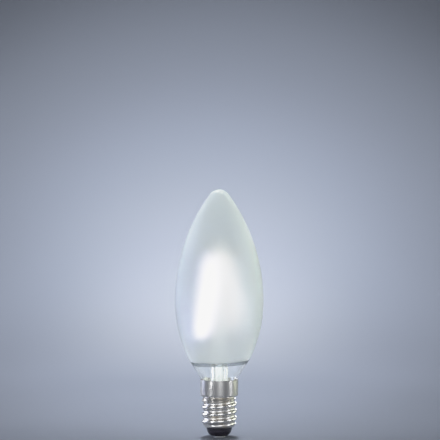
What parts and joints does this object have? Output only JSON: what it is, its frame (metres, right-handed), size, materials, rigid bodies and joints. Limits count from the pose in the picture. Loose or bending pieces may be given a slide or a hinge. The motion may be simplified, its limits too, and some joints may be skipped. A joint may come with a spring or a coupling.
{
  "type": "candle bulb",
  "caption": "Frosted candle-shaped LED filament lamp with a clear neck, a glass stem that carries leaning filaments, and a small Edison screw cap.",
  "frame": {"origin": "centre of the centre contact's flat face, on the axis of the screw cap", "axes": "+Z along the lamp's axis from the contact to the tip of the glass, -Y towards the viewer of the picture, +X to the viewer's right"},
  "size_m": [0.035, 0.035, 0.098],
  "materials": {
    "frosted_glass": "blown glass, etched satin all over down to a line just above the cap, clear below it",
    "clear_glass": "fire polished clear glass",
    "nickel_wire": "drawn nickel wire",
    "ceramic_strip": "white ceramic strip",
    "steel_tab": "plated steel tab",
    "phosphor_silicone": "phosphor filled silicone, glows white when lit",
    "circuit_board": "solder resist",
    "moulded_black": "moulded epoxy",
    "capacitor_ceramic": "fired ceramic",
    "fuse_lacquer": "lacquered body",
    "cement": "cured capping cement",
    "nickel_plated_brass": "bright nickel plating on brass sheet",
    "black_glass": "pressed black glass",
    "contact_metal": "tinned brass"
  },
  "bodies": {
    "root": {"glass_envelope": "frosted_glass", "glass_stem": "clear_glass", "lead_in_wire_a": "nickel_wire", "lead_in_wire_b": "nickel_wire", "top_link_wire": "nickel_wire", "filament_strip_a": "ceramic_strip", "filament_strip_b": "ceramic_strip", "filament_low_tab_a": "steel_tab", "filament_low_tab_b": "steel_tab", "filament_high_tab_a": "steel_tab", "filament_high_tab_b": "steel_tab", "filament_coating_a": "phosphor_silicone", "filament_coating_b": "phosphor_silicone", "driver_board": "circuit_board", "rectifier_bridge": "moulded_black", "driver_chip": "moulded_black", "storage_capacitor": "capacitor_ceramic", "sense_resistor": "moulded_black", "fuse_resistor": "fuse_lacquer", "shell_lead_wire": "nickel_wire", "capping_cement": "cement", "cap_shell": "nickel_plated_brass", "cap_insulator": "black_glass", "centre_contact": "contact_metal"}
  },
  "joints": []
}
